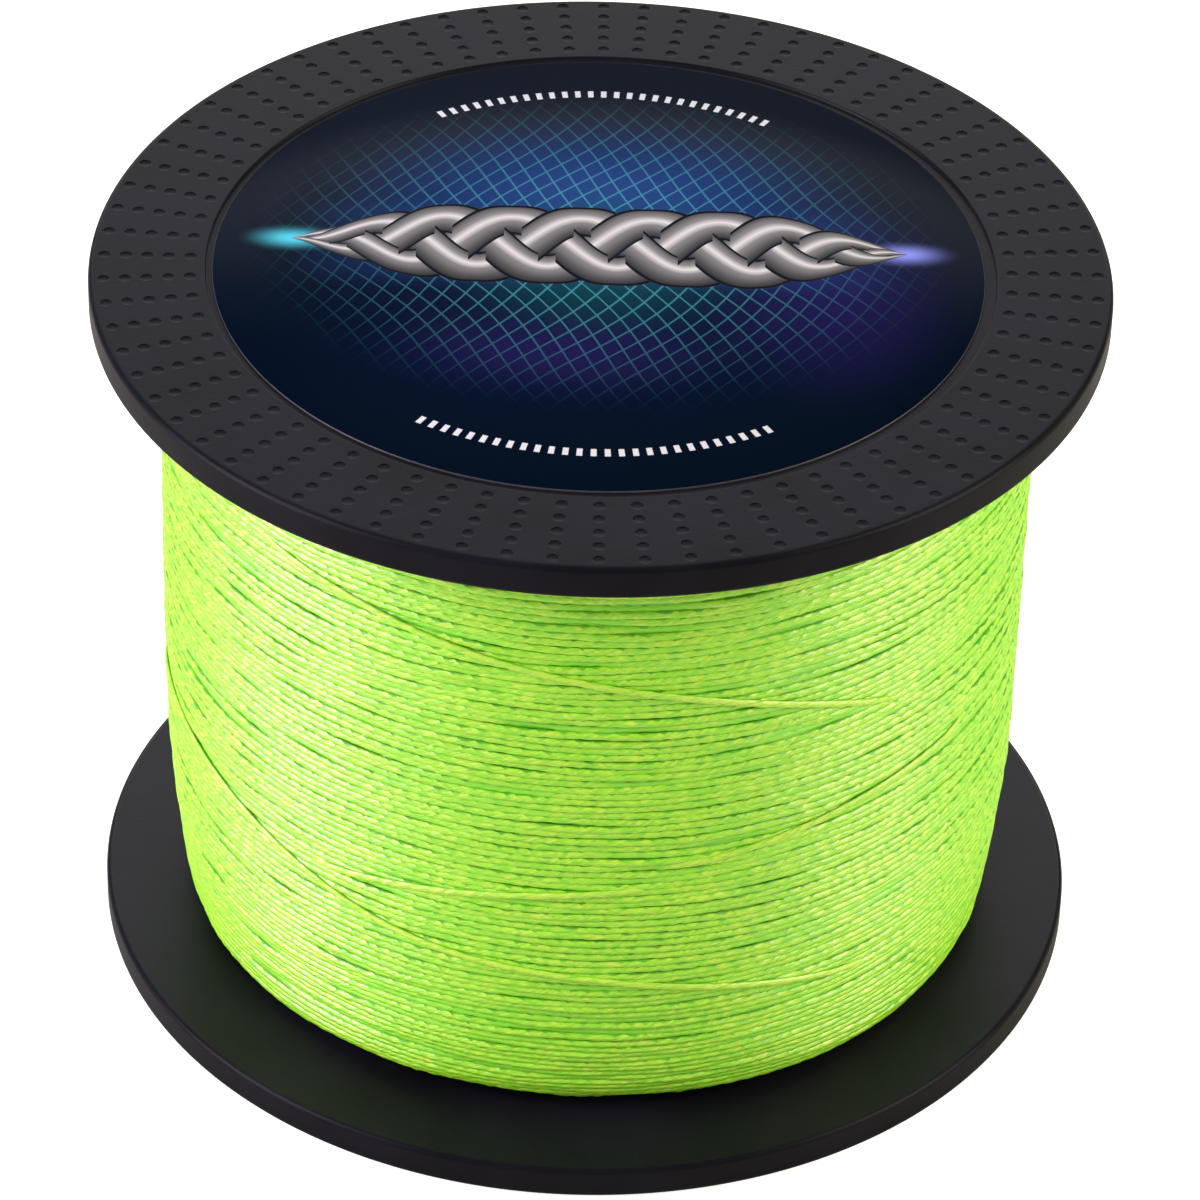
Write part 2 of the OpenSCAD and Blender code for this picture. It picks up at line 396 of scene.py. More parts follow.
# %% Dimple cutter
DIMPLE_R = 0.58 * MM
DIMPLE_DEPTH = 0.13 * MM
DIMPLE_FLARE = 0.07 * MM
DIMPLE_SIDES = 16


def dimple_cutter():
    """A pit with its mouth on z = 0 and its closed lid below the outer face."""
    shape = [(0, 1), (0.84, 0.98), (0.94, 0.86), (0.98, 0.55), (1, 0.16)]
    bowl = [(r * DIMPLE_R, z * DIMPLE_DEPTH) for r, z in shape]
    flare = [(DIMPLE_R + DIMPLE_FLARE, -0.02 * DIMPLE_DEPTH)]
    lid = [(DIMPLE_R + DIMPLE_FLARE, -DIMPLE_DEPTH), (0, -DIMPLE_DEPTH)]
    return lathe("dimple_cutter", bowl + flare + lid, steps=DIMPLE_SIDES)


# %% Dimple ring
DIMPLE_ROWS = 72
DIMPLES_PER_ROW = 5
DIMPLE_MARGIN = 1.5 * MM
DIMPLE_PHASE = math.radians(0.6)


def dimple_field():
    cutter = dimple_cutter()
    first_r = RECESS_R + DIMPLE_MARGIN
    pitch = (FLANGE_R - DIMPLE_MARGIN - first_r) / (DIMPLES_PER_ROW - 1)
    copies = []
    for row in range(DIMPLE_ROWS):
        around = Matrix.Rotation(DIMPLE_PHASE + row * 2 * math.pi / DIMPLE_ROWS, 4, "Z")
        for i in range(DIMPLES_PER_ROW):
            copy = add_object("dimple", cutter.data.copy())
            copy.data.transform(around @ Matrix.Translation((first_r + i * pitch, 0, 0)))
            copies.append(copy)
    bpy.data.objects.remove(cutter)
    return join("dimple_field", copies)


combine(flange, dimple_field(), "DIFFERENCE")
tidy_faces(flange)
print("flange moulding:", len(flange.data.vertices), "points")

# %% [markdown]
# Smooth shading rounds off every edge that turns less than 30 degrees. A pit's
# flared mouth turns less than that, so it is found by its place and marked sharp.

# %% Smooth faces and crisp mouths
LEVEL_NORMAL = 0.9999


def smooth(obj, angle=30):
    select_only(obj)
    bpy.ops.object.shade_smooth_by_angle(angle=math.radians(angle))


def crisp_mouths(obj):
    """Marks the mouth of every pit sharp, so that the face round it is shaded flat."""
    ring_inner_r = RECESS_R + 2 * RECESS_SOFT
    ring_outer_r = FLANGE_R - RIM_EDGE_R - 0.1 * MM
    mesh = bmesh.new()
    mesh.from_mesh(obj.data)
    for edge in mesh.edges:
        in_ring = all(ring_inner_r < math.hypot(vert.co.x, vert.co.y) < ring_outer_r
                      and abs(vert.co.z) < TOUCH for vert in edge.verts)
        level = [face for face in edge.link_faces if abs(face.normal.z) > LEVEL_NORMAL]
        if in_ring and len(level) == 1:
            edge.smooth = False
    mesh.to_mesh(obj.data)
    mesh.free()


smooth(flange)
crisp_mouths(flange)
print("sharp edges:", sum(edge.use_edge_sharp for edge in flange.data.edges))

# %% [markdown]
# ## Satin black plastic
# The moulding is black polypropylene with a fine spark-eroded skin. A black
# surface gets nearly all its look from its reflections, so the colour is plain
# and very dark, and two sizes of noise break up the roughness: a fine grain from
# the mould and a broad cloudiness from handling. The grain is also a faint bump.
# The inner faces guide the line, so their side of the mould is smoother and they
# shine more. A slight violet tint in their gloss holds back the line's green.

# %% Plastic finishes
GRAIN_SCALE = 2400
CLOUD_SCALE = 90
CLOUD_SHADES = (0.72, 1.25)
CLOUD_WEAR = 0.16
SATIN_BLACK = (0.0052, 0.0054, 0.0095)
HUB_BLACK = (0.03, 0.03, 0.034)


def moulded_plastic(name, colour, roughness, grain, gloss=0.08,
                    gloss_tint=(1, 1, 1, 1)):
    finish = Finish(name, Roughness=roughness, Specular_IOR_Level=gloss,
                    Specular_Tint=gloss_tint)
    skin = finish.place()
    fine = finish.noise(skin, GRAIN_SCALE, 3)
    broad = finish.noise(skin, CLOUD_SCALE, 3)
    darker, paler = (tuple(shade * c for c in colour) for shade in CLOUD_SHADES)
    cloud = finish.mix(finish.spread(broad, 0.3, 0.7), darker, paler)
    finish.paint(cloud)
    wear = finish.math("ADD", finish.math("MULTIPLY", broad, CLOUD_WEAR),
                       roughness - CLOUD_WEAR / 2)
    finish.feed(finish.shader.inputs["Roughness"], wear)
    finish.bump(fine, grain)
    return finish.material


flange_plastic = moulded_plastic("flange_plastic", SATIN_BLACK, roughness=0.42,
                                 grain=0.012 * MM)
inner_plastic = moulded_plastic("flange_plastic_inside", SATIN_BLACK, roughness=0.42,
                                grain=0.012 * MM, gloss=0.19, gloss_tint=(1, 0.9, 1, 1))
hub_plastic = moulded_plastic("hub_plastic", HUB_BLACK, roughness=0.5, grain=0.02 * MM)
print("plastics:", flange_plastic.name, inner_plastic.name, hub_plastic.name)

# %% [markdown]
# ## Two flanges from one moulding
# The upper flange is the same moulding, facing up. A mirror in Z keeps its rows
# of dimples straight above the lower ones. A mirror also turns a mesh inside
# out, so the normals of the copy are recalculated.

# %% Upper and lower flange
def even_flats(obj):
    """Keeps flat faces flat in the shading, and leaves the turn to the rounds beside them."""
    weighted = obj.modifiers.new("even flats", "WEIGHTED_NORMAL")
    weighted.mode = "FACE_AREA"
    weighted.weight = 100
    weighted.keep_sharp = True
    apply_modifiers(obj)


def flange_copy(name, place):
    piece = add_object(name, flange.data.copy())
    piece.data.transform(place)
    piece.data.name = name
    return piece


lower_flange = flange_copy("lower_flange_moulding", Matrix.Identity(4))
turned_over = Matrix.Diagonal((1, 1, -1, 1))
upper_flange = flange_copy("upper_flange_moulding",
                           Matrix.Translation((0, 0, SPOOL_H)) @ turned_over)
bpy.data.objects.remove(flange)
tidy_faces(upper_flange)
even_flats(lower_flange)
even_flats(upper_flange)
print("upper flange reaches", round(max(v.co.z for v in upper_flange.data.vertices) / MM, 2), "mm")

# %% [markdown]
# Every finished piece is dressed: it gets its materials and the body that it rides
# on, and the imported node that it stands for is hidden. The faces that look at
# the line are found by their height and direction, and get the glossier finish.

# %% Dressing the flanges
def dress(obj, material, slot, *nodes, extra=()):
    """Gives a finished piece its materials and its body, and hides the imported nodes that it
    stands for.
    """
    obj.data.materials.clear()
    for each in (material, *extra):
        obj.data.materials.append(each)
    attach(obj, "root")
    if nodes:
        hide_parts(*nodes)
    print(f"{obj.name}: {len(obj.data.polygons)} faces")


for piece, node, inwards in ((lower_flange, "lower_flange", 1),
                             (upper_flange, "upper_flange", -1)):
    dress(piece, flange_plastic, "flange_plastic", node, extra=(inner_plastic,))
    inner_face = FLANGE_T if inwards > 0 else SPOOL_H - FLANGE_T
    for polygon in piece.data.polygons:
        on_face = abs(polygon.center.z - inner_face) < 0.1 * MM
        polygon.material_index = 1 if on_face and polygon.normal.z * inwards > 0.9 else 0

# %% [markdown]
# ## Hub
# The barrel and the spindle sleeve are lathed tubes. The barrel has a groove for
# each snap bead and notches for the driving lugs. The sleeve's ends are
# chamfered, so that it finds its sockets by itself when the spool is pressed
# together. Of the hub, only the sleeve's bore can be seen, from below.

# %% Barrel and sleeve
BARREL_WALL = 2.5 * MM
GROOVE_R = BEAD_R + 0.1 * MM
LUG_CLEARANCE = 0.15 * MM
NOTCH_MARGIN = 1 * MM
SLEEVE_CHAMFER = 0.4 * MM
barrel_low = FLANGE_T
barrel_top = SPOOL_H - FLANGE_T
barrel_bore = BARREL_R - BARREL_WALL


def groove(height):
    """The bead's groove in the barrel's bore, walked from its upper end down."""
    half = math.degrees(math.acos((barrel_bore - SPIGOT_R) / GROOVE_R))
    return arc(SPIGOT_R, height, GROOVE_R, half, -half, 8)


barrel = lathe("barrel_tube", [
    (BARREL_R, barrel_low), (BARREL_R, barrel_top), (barrel_bore, barrel_top),
    *groove(SPOOL_H - BEAD_Z), *groove(BEAD_Z), (barrel_bore, barrel_low)])
for turned in (False, True):
    notches = spokes("notches", LUG_COUNT, barrel_bore - NOTCH_MARGIN,
                     BARREL_R + NOTCH_MARGIN, LUG_W + 2 * LUG_CLEARANCE,
                     LUG_H + LUG_CLEARANCE, math.pi / LUG_COUNT)
    if turned:
        notches.data.transform(Matrix.Translation((0, 0, SPOOL_H))
                               @ Matrix.Rotation(math.pi, 4, "X"))
    combine(barrel, notches, "DIFFERENCE")
smooth(barrel)
dress(barrel, hub_plastic, "hub_plastic", "barrel")

sleeve = lathe("spindle_sleeve_tube", [
    (SPINDLE_R, barrel_low), (SLEEVE_R - SLEEVE_CHAMFER, barrel_low),
    (SLEEVE_R, barrel_low + SLEEVE_CHAMFER), (SLEEVE_R, barrel_top - SLEEVE_CHAMFER),
    (SLEEVE_R - SLEEVE_CHAMFER, barrel_top), (SPINDLE_R, barrel_top)], steps=96)
smooth(sleeve)
dress(sleeve, hub_plastic, "hub_plastic", "spindle_sleeve")

# %% [markdown]
# ## Start tape
# The first turn of a braid slips on bare plastic, so a strip of paper tape holds
# it to the barrel. The imported node already has the tape's true shape, and only
# gets its finish: pale crepe paper, whose creases run across the strip. The
# hollows of the creases are painted darker, as shade.

# %% Paper tape
TAPE_CREASE_SHADE = (0.55, 0.5, 0.38)
TAPE_CREAM = (0.8, 0.76, 0.64)
CREASE_SCALE = 1800

tape_paper = Finish("tape_paper", Roughness=0.85, Specular_IOR_Level=0.2)
creases = tape_paper.noise(tape_paper.place(scale=(1, 1, 0.15)), CREASE_SCALE, 4)
# The low parts of the crease noise, the hollows of the bump, are painted darker as shade.
tape_paper.paint(tape_paper.mix(creases, TAPE_CREASE_SHADE, TAPE_CREAM))
tape_paper.bump(creases, 0.05 * MM)
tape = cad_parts["start_tape"]
tape.data.materials.clear()
tape.data.materials.append(tape_paper.material)
print("start tape:", len(tape.data.polygons), "faces, kept as packed")

# %% [markdown]
# ## Label film
# The label is a disc of printed film, laid a little off centre in its recess.
# It is a lathed disc with a tiny bevel on its upper edge. The cut edge isn't
# printed and is a shade paler than the print, so it has a material of its own.

# %% Label disc
FILM_EDGE = 0.04 * MM
film_low = label_low.z
film_top = label_high.z
label = lathe("label_film_disc", [
    (0, film_low), (LABEL_R, film_low), (LABEL_R, film_top - FILM_EDGE),
    (LABEL_R - FILM_EDGE, film_top), (LABEL_R * 0.5, film_top), (0, film_top)])
label.data.transform(Matrix.Translation((LABEL_X, 0, 0)))
smooth(label, 60)
print(f"label: {2 * LABEL_R / MM:.1f} mm across, {(film_top - film_low) / MM:.2f} mm thick")

# %% [markdown]
# ## Printed design
# The print is dark navy with blue, teal and violet glows, a fine cyan net, and a
# silver plait of three strands across it. All of it is drawn by the material
# from the place on the disc, in millimetres, so it stays sharp at any distance.
# Each glow is a soft oval, given by its middle, its reach and its strength.

# %% Print coordinates and background
PRINT_NAVY = (0.0008, 0.0045, 0.034)
PRINT_EDGE = (0.0006, 0.004, 0.012)
PRINT_BLUE = (0.014, 0.05, 0.2)
PRINT_TEAL = (0.002, 0.06, 0.065)
PRINT_VIOLET = (0.012, 0.008, 0.085)
PRINT_CYAN = (0.08, 0.42, 0.5)

film = Finish("label_print", Roughness=0.3, Specular_IOR_Level=0.008)
x, y, _ = film.axes(film.place(scale=(1 / MM,) * 3, shift=(-LABEL_X / MM, 0, 0)))


def glow(centre_x, centre_y, wide, high):
    """1 in the middle of a soft oval and 0 outside it."""
    across = film.math("DIVIDE", film.math("SUBTRACT", x, centre_x), wide)
    up = film.math("DIVIDE", film.math("SUBTRACT", y, centre_y), high)
    square = film.math("ADD", film.math("MULTIPLY", across, across),
                       film.math("MULTIPLY", up, up))
    return film.spread(film.math("SQRT", square), 1, 0)


def tint(colour, amount, towards, strength=1.0):
    return film.mix(film.math("MULTIPLY", amount, strength), colour, towards)


print_colour = tint(PRINT_EDGE, glow(0, 0, 37, 37), PRINT_NAVY)
GLOWS = [((23, -4), (15, 22), PRINT_VIOLET, 0.7), ((-4, -15), (21, 9), PRINT_VIOLET, 0.6),
         ((0, 12), (30, 17), PRINT_BLUE, 1.0), ((0, 1), (18, 15), PRINT_TEAL, 0.85)]
for middle, reach, colour, strength in GLOWS:
    print_colour = tint(print_colour, glow(*middle, *reach), colour, strength)
print(len(GLOWS), "glows on the navy")

# %% [markdown]
# The net is two families of thin slanted lines. Each line is where a slanted
# coordinate comes close to a whole number of meshes. A slow wave in both makes
# the net hang like a real one, and the knots are round dots at its crossings.

# %% Fishing net
NET_MESH = 2.3
NET_LINE = 0.07
KNOT_R = 0.16
NET_STRENGTH = 0.55


def wave(value, length, height):
    turned = film.math("MULTIPLY", value, 2 * math.pi / length)
    return film.math("MULTIPLY", film.math("SINE", turned), height)


def off_line(coordinate):
    """Distance to the nearest whole number, 0 to 0.5."""
    nearest = film.math("ROUND", coordinate)
    return film.math("ABSOLUTE", film.math("SUBTRACT", coordinate, nearest))


net_x = film.math("DIVIDE", film.math("ADD", x, wave(y, 31, 1.1)), NET_MESH)
net_y = film.math("DIVIDE", film.math("ADD", y, wave(x, 43, 1.6)), 1.5 * NET_MESH)
off_a = off_line(film.math("ADD", net_x, net_y))
off_b = off_line(film.math("SUBTRACT", net_x, net_y))
strands = film.spread(film.math("MINIMUM", off_a, off_b), NET_LINE, 0.4 * NET_LINE)
knots = film.spread(film.math("ADD", off_a, off_b), KNOT_R, 0.6 * KNOT_R)
net = film.math("MAXIMUM", strands, knots)
fade = film.math("MULTIPLY", glow(0, 4, 36, 30), NET_STRENGTH)
print_colour = film.mix(film.math("MULTIPLY", net, fade), print_colour, PRINT_CYAN)
print(f"net with meshes of {NET_MESH} mm")

# %% [markdown]
# The plait is drawn strand by strand. A strand is a sine wave with a width that
# tapers to both ends, and its neighbours follow a third of a wave behind. At a
# crossing, the strand with the greater height is drawn over the other, which is
# what makes three waves read as a plait.

# %% One strand of the plait
STRANDS = 3
PLAIT_Y = 3.5
PLAIT_REACH = 30.5
PLAIT_WAVE = 20.5
PLAIT_SWING = 4.3
STRAND_W = 2.3
OUTLINE_W = 0.32
OUTLINE_INK = (0.004, 0.006, 0.012)
SILVER = [(0.0, (0.02, 0.022, 0.026)), (0.2, (0.08, 0.082, 0.09)), (0.45, (0.2, 0.2, 0.21)),
          (0.62, (0.62, 0.62, 0.64)), (0.78, (0.22, 0.22, 0.235)), (1.0, (0.06, 0.062, 0.068))]

taper = film.spread(film.math("ABSOLUTE", x), PLAIT_REACH, 0.45 * PLAIT_REACH, 0.0, 1.0)
taper = film.math("POWER", taper, 0.6)
half_w = film.math("MULTIPLY", taper, STRAND_W)
swing = film.math("MULTIPLY", taper, PLAIT_SWING)


def off_strand(phase):
    """Distance from a strand's middle line, square to it."""
    middle = film.math("ADD", film.math("MULTIPLY", film.math("SINE", phase), swing), PLAIT_Y)
    slope = film.math("MULTIPLY", film.math("COSINE", phase),
                      2 * math.pi / PLAIT_WAVE * PLAIT_SWING)
    length = film.math("SQRT", film.math("ADD", film.math("MULTIPLY", slope, slope), 1))
    return film.math("DIVIDE", film.math("SUBTRACT", y, middle), length)


# %% Silver plait
top = -2.0
silver = (0.1, 0.1, 0.1)
covered = 0.0
for i in range(STRANDS):
    phase = film.math("ADD", film.math("MULTIPLY", x, 2 * math.pi / PLAIT_WAVE),
                      i * 2 * math.pi / STRANDS)
    off = off_strand(phase)
    inside = film.math("SUBTRACT", half_w, film.math("ABSOLUTE", off))
    height = film.math("SINE", film.math("MULTIPLY", phase, 2))
    outline_w = film.math("MULTIPLY", taper, -OUTLINE_W)
    drawn = film.spread(inside, outline_w, film.math("ADD", outline_w, 0.08))
    drawn = film.math("MULTIPLY", drawn, film.math("GREATER_THAN", taper, 0.01))
    above = film.math("GREATER_THAN", height, top)
    amount = film.math("MULTIPLY", drawn, above)
    place = film.math("DIVIDE", film.math("ADD", off, half_w),
                      film.math("MULTIPLY", film.math("ADD", half_w, 0.001), 2))
    shine = film.ramp(place, SILVER)
    outlined = film.mix(film.spread(inside, 0, 0.1), OUTLINE_INK, shine)
    silver = film.mix(amount, silver, outlined)
    top = film.math("ADD", film.math("MULTIPLY", height, amount),
                    film.math("MULTIPLY", top, film.math("SUBTRACT", 1, amount)))
    covered = film.math("MAXIMUM", covered, amount)
print(f"plait of {STRANDS} strands, {2 * PLAIT_REACH:.0f} mm long")

# %% [markdown]
# A blue halo lies behind the plait, and a flare glints at each of its ends. The
# plait is laid over them last.

# %% Halo and flares
FLARE_X = 30
FLARE_SIZE = (6.5, 3)
FLARE_CYAN = (0.08, 0.6, 0.75)
FLARE_VIOLET = (0.25, 0.3, 0.95)
halo = film.spread(film.math("ABSOLUTE", film.math("SUBTRACT", y, PLAIT_Y)), 9, 4, 0, 0.35)
print_colour = tint(print_colour, film.math("MULTIPLY", halo, taper), PRINT_BLUE)
for end, flare_colour in ((-FLARE_X, FLARE_CYAN), (FLARE_X, FLARE_VIOLET)):
    flare = film.math("POWER", glow(end, PLAIT_Y, *FLARE_SIZE), 2)
    print_colour = tint(print_colour, flare, flare_colour, 0.9)
print_colour = film.mix(covered, print_colour, silver)
print("flares at", -FLARE_X, "and", FLARE_X, "mm")

# %% [markdown]
# Two arcs of small silver marks follow the rim of the disc, at the back and at
# the front. They repeat with the angle, which an arctangent gives, and each arc
# ends where the angle leaves its span. A mark's width is in shares of the pitch
# and its height in millimetres, each with a soft edge between two values.

# %% Marks round the print
MARK_RING = 31.5
MARK_PITCH = math.radians(2.4)
MARK_SPAN = math.radians(33)
MARK_W = (0.24, 0.18)
MARK_H = (0.62, 0.54)
MARK_SILVER = (0.62, 0.65, 0.7)
bearing = film.math("ARCTAN2", x, film.math("ABSOLUTE", y))
radius = film.math("SQRT", film.math("ADD", film.math("MULTIPLY", x, x),
                                     film.math("MULTIPLY", y, y)))
mark_a = film.spread(off_line(film.math("DIVIDE", bearing, MARK_PITCH)), *MARK_W)
mark_r = film.spread(film.math("ABSOLUTE", film.math("SUBTRACT", radius, MARK_RING)), *MARK_H)
mark_end = film.math("LESS_THAN", film.math("ABSOLUTE", bearing), MARK_SPAN)
marks = film.math("MULTIPLY", film.math("MULTIPLY", mark_a, mark_r), mark_end)
print_colour = film.mix(marks, print_colour, MARK_SILVER)

# %% [markdown]
# Film this thin never lies quite flat, so it waves very slightly. The faces of
# the cut edge are found by their distance from the middle of the disc.

# %% Label finishes
FILM_WAVES = 160
CUT_EDGE_SCALE = 900
CUT_EDGE_DARK = (0.02, 0.022, 0.03)
CUT_EDGE_PALE = (0.07, 0.075, 0.09)

film.paint(print_colour)
film.bump(film.noise(film.place(), FILM_WAVES, 2), 0.02 * MM, 0.5)

film_edge = Finish("film_edge", Roughness=0.4)
cut_edge = film_edge.noise(film_edge.place(), CUT_EDGE_SCALE)
film_edge.paint(film_edge.mix(cut_edge, CUT_EDGE_DARK, CUT_EDGE_PALE))
dress(label, film.material, "label_film", "face_label", extra=(film_edge.material,))
for polygon in label.data.polygons:
    middle = polygon.center - Vector((LABEL_X, 0, 0))
    at_edge = math.hypot(middle.x, middle.y) > LABEL_R - FILM_EDGE
    polygon.material_index = 1 if at_edge else 0

# %% [markdown]
# ## Braided line: where it lies
# The line is one braid of about half a millimetre, pressed flat by its own
# tension, so a turn is wider than it is thick. The package is not a plain
# cylinder: it is rounded in at both flanges and thinner towards the lower one.
# Its outline is drawn first, and every turn is then laid against that outline.

# %% Outline of the package
TURN_PITCH = 0.79 * MM
BRAID_HALF_W = 0.45 * MM
BRAID_HALF_T = 0.34 * MM
package_points = np.array([
    (38.4, 3.66), (39.4, 3.72), (40.3, 4.0), (40.9, 4.45), (41.3, 5.2), (41.6, 6.2),
    (41.8, 7.5), (42.15, 10.2), (42.45, 12.9), (42.65, 15.5), (42.9, 18.2), (43.1, 20.8),
    (43.25, 23.5), (43.3, 30), (43.3, 60), (43.3, 70.6), (43.15, 71.8), (42.7, 72.7),
    (41.9, 73.2), (40.8, 73.34)]) * MM


def even_outline(points, step):
    """The outline with its corners eased and its points a step apart."""
    lengths = np.concatenate([[0], np.cumsum(np.hypot(*np.diff(points, axis=0).T))])
    along = np.arange(0, lengths[-1], step)
    fine = np.column_stack([np.interp(along, lengths, points[:, i]) for i in (0, 1)])
    reach = 4
    padded = np.pad(fine, ((reach, reach), (0, 0)), mode="edge")
    window = np.ones(2 * reach + 1) / (2 * reach + 1)
    return np.column_stack([np.convolve(padded[:, i], window, "valid") for i in (0, 1)])


OUTLINE_STEP = 0.1 * MM
outline = even_outline(package_points, OUTLINE_STEP)
outline_length = len(outline) * OUTLINE_STEP
slopes = np.gradient(outline, axis=0)
slopes /= np.hypot(slopes[:, 0], slopes[:, 1])[:, None]
outwards = np.column_stack([slopes[:, 1], -slopes[:, 0]])
print(f"outline of the package: {outline_length / MM:.1f} mm long")


def on_outline(s, depth):
    """Radius and height of places s along the outline, and depth under it."""
    marks = np.arange(len(outline)) * OUTLINE_STEP
    radius = np.interp(s, marks, outline[:, 0]) - depth * np.interp(s, marks, outwards[:, 0])
    height = np.interp(s, marks, outline[:, 1]) - depth * np.interp(s, marks, outwards[:, 1])
    return radius, height


def s_at_height(height):
    """Place along the outline at a height, for the straight part of the package."""
    return np.interp(height, outline[:, 1], np.arange(len(outline)) * OUTLINE_STEP)


# %% [markdown]
# ## Braided line: its body
# A braid this long can't be modelled by hand, so a short function sweeps a
# flattened section along a route. A braid is made of picks, short bulges that
# follow one another on its left and right edge in turn, never quite equal in
# length. Their places are drawn first. They push the edges of the section in and
# out, and they are written to a UV map too: u counts the line's length in picks
# and v goes once round it, so that the weave is drawn where the bulges are.


# %% Picks
SECTION_ANGLES = np.radians([-112, -72, -36, 0, 36, 72, 112])
SECTION_SIDES = len(SECTION_ANGLES)
SECTION_FULLNESS = 0.85
PICK_LENGTH = 1.9 * MM
PICK_UNEVEN = (0.65, 1.35)
PICK_SIZES = (0.2, 1.3)
PICK_BULGE_W = 0.06 * MM
PICK_BULGE_T = 0.03 * MM
WINDING_SEED = 7
rng = np.random.default_rng(WINDING_SEED)


def pick_places(distance):
    """Picks passed at each distance along the line, and the bulge of both edges there."""
    count = int(distance[-1] / PICK_LENGTH * 1.2) + 8
    starts = np.concatenate([[0], np.cumsum(PICK_LENGTH * rng.uniform(*PICK_UNEVEN, count))])
    passed = np.interp(distance, starts, np.arange(count + 1))
    sizes = [np.interp(passed, np.arange(count + 1), rng.uniform(*PICK_SIZES, count + 1))
             for _ in range(2)]
    swing = np.cos(2 * math.pi * passed)
    return passed, sizes[0] * swing, -sizes[1] * swing


# %% [markdown]
# The section is a flat oval of seven points, cut off along its hidden underside.
# At every place on the route it stands square to the line, with its flat side out
# of the package. Rings of points become walls, and each wall's corners get their
# place in the weave. A last value says how deep the line lies, for the painted
# shade in its colour.


# %% Rings of the section
def braid_points(centres, half_w, half_t, low_bulge, high_bulge):
    """A ring of points round each place of the route."""
    along = np.gradient(centres, axis=0)
    along /= np.linalg.norm(along, axis=1)[:, None]
    out = centres * (1, 1, 0)
    out /= np.linalg.norm(out, axis=1)[:, None]
    out -= (out * along).sum(1)[:, None] * along
    out /= np.linalg.norm(out, axis=1)[:, None]
    side = np.cross(along, out)
    up = np.cos(SECTION_ANGLES)
    up = np.sign(up) * np.abs(up) ** SECTION_FULLNESS
    across = np.sin(SECTION_ANGLES)
    bulge = (low_bulge[:, None] * np.clip(-across, 0, 1)
             + high_bulge[:, None] * np.clip(across, 0, 1))
    outward = half_t * up + PICK_BULGE_T * bulge
    sideways = half_w * across + PICK_BULGE_W * bulge * np.sign(across)
    return (centres[:, None] + out[:, None] * outward[:, :, None]
            + side[:, None] * sideways[:, :, None])


# %% Walls and their place in the weave
def braid_walls(rings):
    """The four corners of each wall between one ring and the next."""
    a = (np.arange(rings - 1)[:, None] * SECTION_SIDES + np.arange(SECTION_SIDES))
    b = (np.arange(rings - 1)[:, None] * SECTION_SIDES
         + (np.arange(SECTION_SIDES) + 1) % SECTION_SIDES)
    return np.stack([a, a + SECTION_SIDES, b + SECTION_SIDES, b], axis=-1).reshape(-1, 4)


def braid_uv(passed):
    """Where those corners lie in the weave."""
    u0 = np.repeat(passed[:-1], SECTION_SIDES)
    u1 = np.repeat(passed[1:], SECTION_SIDES)
    shares = SECTION_ANGLES / (2 * math.pi) + 0.5
    v0 = np.tile(shares, len(passed) - 1)
    v1 = np.tile([*shares[1:], 1 + shares[0]], len(passed) - 1)
    corners = ((u0, v0), (u1, v0), (u1, v1), (u0, v1))
    return np.stack([np.column_stack(pair) for pair in corners], axis=1).reshape(-1, 2)


# %% Sweep along a route
def swept_braid(name, centres, half_w, half_t, picks, sunk=None):
    """A closed tube along a route."""
    passed, low_bulge, high_bulge = picks
    rings = len(centres)
    points = braid_points(centres, half_w, half_t, low_bulge, high_bulge)
    walls = braid_walls(rings)
    first_end = list(range(SECTION_SIDES))
    last_end = [rings * SECTION_SIDES - 1 - i for i in range(SECTION_SIDES)]
    mesh = bpy.data.meshes.new(name)
    mesh.from_pydata(points.reshape(-1, 3).tolist(), [], walls.tolist() + [first_end, last_end])
    uv = np.zeros((len(mesh.loops), 2), np.float32)
    uv[:4 * len(walls)] = braid_uv(passed)
    mesh.uv_layers.new(name="braid").data.foreach_set("uv", uv.ravel())
    depths = np.zeros(rings) if sunk is None else np.clip(sunk / MM, 0, 1)
    # How deep the line lies, which the finish turns into painted shade.
    attribute = mesh.attributes.new("sunk", "FLOAT", "POINT")
    attribute.data.foreach_set("value", np.repeat(depths, SECTION_SIDES).astype(np.float32))
    mesh.shade_smooth()
    sharp = np.zeros(len(mesh.polygons), bool)
    sharp[-2:] = True
    mesh.attributes.new("sharp_face", "BOOLEAN", "FACE").data.foreach_set("value", sharp)
    print(f"{name}: {2 * len(walls)} triangles")
    return add_object(name, mesh)


def distance_along(centres):
    steps = np.linalg.norm(np.diff(centres, axis=0), axis=1)
    return np.concatenate([[0], np.cumsum(steps)])


# %% [markdown]
# ## Braided line: the turns
# A winding machine lays turn beside turn, but never quite evenly: rows close up,
# open, and ride on each other a little. Three smooth seeded waves do this. One
# moves neighbouring rows together, one moves each row by itself, and one sets how
# deep a row lies. Many short stretches dip deeper still, and on one side the
# lowest rows have slipped up a little. The outer layer is one long line, cut into
# three pieces that meet end to end, because a single mesh would be too heavy. A
# plainer layer under it shows in the gaps. Speeds are in waves per turn, the
# reach of a dip is in turns and its depth in millimetres.


# %% Waves
SLOWEST_WAVE = 0.35


def own_wave(turns, strengths, fastest, count=14):
    """A smooth wave along the line that doesn't repeat from turn to turn."""
    speeds = rng.uniform(SLOWEST_WAVE, fastest, count)
    phases = rng.uniform(0, 2 * math.pi, count)
    sizes = rng.uniform(0.5, 1, count)
    sizes *= strengths / np.sqrt((sizes ** 2).sum() / 2)
    return sum(a * np.sin(2 * math.pi * f * turns + p)
               for a, f, p in zip(sizes, speeds, phases))


def shared_wave(turns, share, strength, count=7):
    """A smooth wave that whole groups of neighbouring rows follow."""
    total = 0
    for _ in range(count):
        around = rng.integers(1, 5)
        up = rng.uniform(1.5, 6)
        size = rng.uniform(0.4, 1) * strength / math.sqrt(count)
        start = rng.uniform(0, 2 * math.pi)
        total = total + size * np.sin(2 * math.pi * (around * turns + up * share) + start)
    return total


